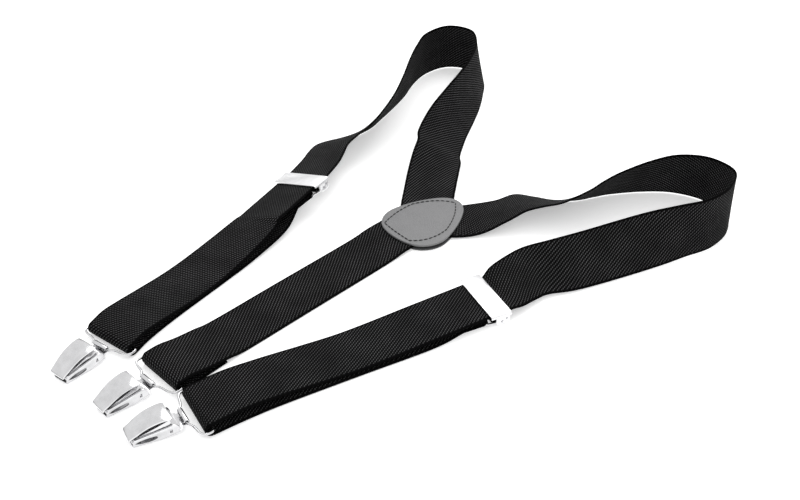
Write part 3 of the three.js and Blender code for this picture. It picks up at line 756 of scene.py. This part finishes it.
LEATHER_TOP = LEATHER_LEVEL + LEATHER_THICKNESS
patch = yoke_plate(
    "yoke_patch", LEATHER_LEVEL, LEATHER_TOP, LEATHER, LEATHER_CROWN, LEATHER_ROUNDING
)
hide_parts("yoke_leather")
under = yoke_plate(
    "yoke_lining", 0.0, BACKING_THICKNESS, BACKING, 0.0, BACKING_ROUNDING
)
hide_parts("yoke_backing")


STITCH = 3.0
STITCH_GAP = 0.4
THREAD_RADIUS = 0.36
THREAD_SINK = 0.05
THREAD_SIDES = 8
THREAD_CUTS = 8


def stitches(name, path, height, body):
    """Single stitches of thread along a path, each a small arched roll with thin ends."""
    mesh = bmesh.new()
    distances = [0.0]
    for a, b in zip(path, path[1:]):
        distances.append(distances[-1] + (b - a).length)
    total = distances[-1]

    def at(distance):
        distance = min(max(distance, 0), total)
        for k in range(len(path) - 1):
            if distance <= distances[k + 1]:
                share = (distance - distances[k]) / max(distances[k + 1] - distances[k], 1e-6)
                return path[k].lerp(path[k + 1], share)
        return path[-1].copy()

    pitch = total / max(1, round(total / (STITCH + STITCH_GAP)))
    long = pitch - STITCH_GAP
    turns = [2 * math.pi * s / THREAD_SIDES for s in range(THREAD_SIDES)]
    begin = 0.0
    while begin + long <= total + 1e-6:
        rings = []
        for k in range(THREAD_CUTS + 1):
            share = k / THREAD_CUTS
            centre = at(begin + share * long)
            before = at(begin + max(share - 0.1, 0) * long)
            after = at(begin + min(share + 0.1, 1) * long)
            along = (after - before).normalized()
            across = Vector((-along.y, along.x, 0)).normalized()
            arch = math.sin(math.pi * share)
            thick = THREAD_RADIUS * (0.35 + 0.65 * math.sqrt(max(arch, 0.0)))
            rise = height - THREAD_SINK + THREAD_RADIUS * 0.7 * arch
            middle = centre + Vector((0, 0, rise))
            ring = []
            for a in turns:
                lift = Vector((0, 0, math.sin(a) * thick))
                ring.append(mesh.verts.new((middle + across * math.cos(a) * thick + lift) * MM))
            rings.append(ring)
        for lower, upper in zip(rings, rings[1:]):
            for s in range(THREAD_SIDES):
                t = (s + 1) % THREAD_SIDES
                mesh.faces.new((lower[s], lower[t], upper[t], upper[s]))
        mesh.faces.new(list(reversed(rings[0])))
        mesh.faces.new(rings[-1])
        begin += pitch
    bmesh.ops.recalc_face_normals(mesh, faces=mesh.faces)
    data = bpy.data.meshes.new(name)
    mesh.to_mesh(data)
    mesh.free()
    for polygon in data.polygons:
        polygon.use_smooth = True
    data.materials.append(THREAD)
    obj = link(data, name)
    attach(obj, body)


def crown_height(point):
    """How far the leather's crown stands above its edge."""
    share = min(1.0, math.hypot(point.x / YOKE_HALF[0], point.y / YOKE_HALF[1]))
    return LEATHER_CROWN * (1 - share ** 2)


seam = [Vector((p.x, p.y, 0)) for p in curve_path(SEAM)]
seam.append(seam[0].copy())
for point in seam:
    point.z = crown_height(point)
stitches("yoke_stitching", seam, LEATHER_TOP, "straps")

# ------------------------------------------------------------------ floor, light and camera
bpy.ops.mesh.primitive_plane_add(size=16, location=(0, 0, 0))
floor = bpy.context.object
floor.name = "floor"
# A little light of its own keeps the floor white and its shadows soft.
floor.data.materials.append(Nodes("floor_white").set(
    Base_Color=(0.9, 0.9, 0.9), Roughness=0.75, Specular_IOR_Level=0.2,
    Emission_Color=(1.0, 1.0, 1.0), Emission_Strength=0.38,
))
LIGHT_AIM = (0, -0.03, 0)


def soft_box(name, place, size, power):
    """A large area light aimed at the middle of the object. Its sizes are in metres."""
    lamp = bpy.data.lights.new(name, "AREA")
    lamp.shape = "RECTANGLE"
    lamp.size, lamp.size_y = size
    lamp.energy = power
    obj = bpy.data.objects.new(name, lamp)
    bpy.context.scene.collection.objects.link(obj)
    obj.location = place
    toward = Vector(LIGHT_AIM) - Vector(place)
    obj.rotation_euler = toward.to_track_quat("-Z", "Y").to_euler()


soft_box("key_light", place=(-0.5, 0.9, 1.3), size=(1.2, 1.0), power=13)
soft_box("fill_light", place=(1.1, -0.5, 1.1), size=(1.4, 1.0), power=1.5)


def studio_world(horizon, ceiling):
    """A bright ceiling over a darker band at the horizon, for the metal to reflect."""
    world = bpy.data.worlds.new("studio")
    world.use_nodes = True
    tree = world.node_tree
    direction = tree.nodes.new("ShaderNodeTexCoord")
    parts = tree.nodes.new("ShaderNodeSeparateXYZ")
    climb = tree.nodes.new("ShaderNodeMapRange")
    climb.interpolation_type = "SMOOTHSTEP"
    limits = {"From Min": -0.02, "From Max": 0.3, "To Min": horizon, "To Max": ceiling}
    for key, value in limits.items():
        climb.inputs[key].default_value = value
    tree.nodes["Background"].inputs["Color"].default_value = (1, 1, 1, 1)
    tree.links.new(direction.outputs["Generated"], parts.inputs[0])
    tree.links.new(parts.outputs["Z"], climb.inputs["Value"])
    tree.links.new(climb.outputs["Result"], tree.nodes["Background"].inputs["Strength"])
    bpy.context.scene.world = world


studio_world(horizon=0.1, ceiling=1.0)
bpy.context.scene.view_settings.view_transform = "Standard"

CAMERA_PLACE = (0.4597, -0.4807, 0.478)
CAMERA_LENS = 56.25
CAMERA_HEADING = math.radians(135)
PITCH = math.radians(36.8)
camera_data = bpy.data.cameras.new("camera")
camera_data.sensor_width = 36
camera_data.lens = CAMERA_LENS
camera = bpy.data.objects.new("camera", camera_data)
bpy.context.scene.collection.objects.link(camera)
view = Vector((
    math.cos(PITCH) * math.cos(CAMERA_HEADING),
    math.cos(PITCH) * math.sin(CAMERA_HEADING),
    -math.sin(PITCH),
))
camera.location = CAMERA_PLACE
camera.rotation_euler = view.to_track_quat("-Z", "Y").to_euler()
bpy.context.scene.camera = camera
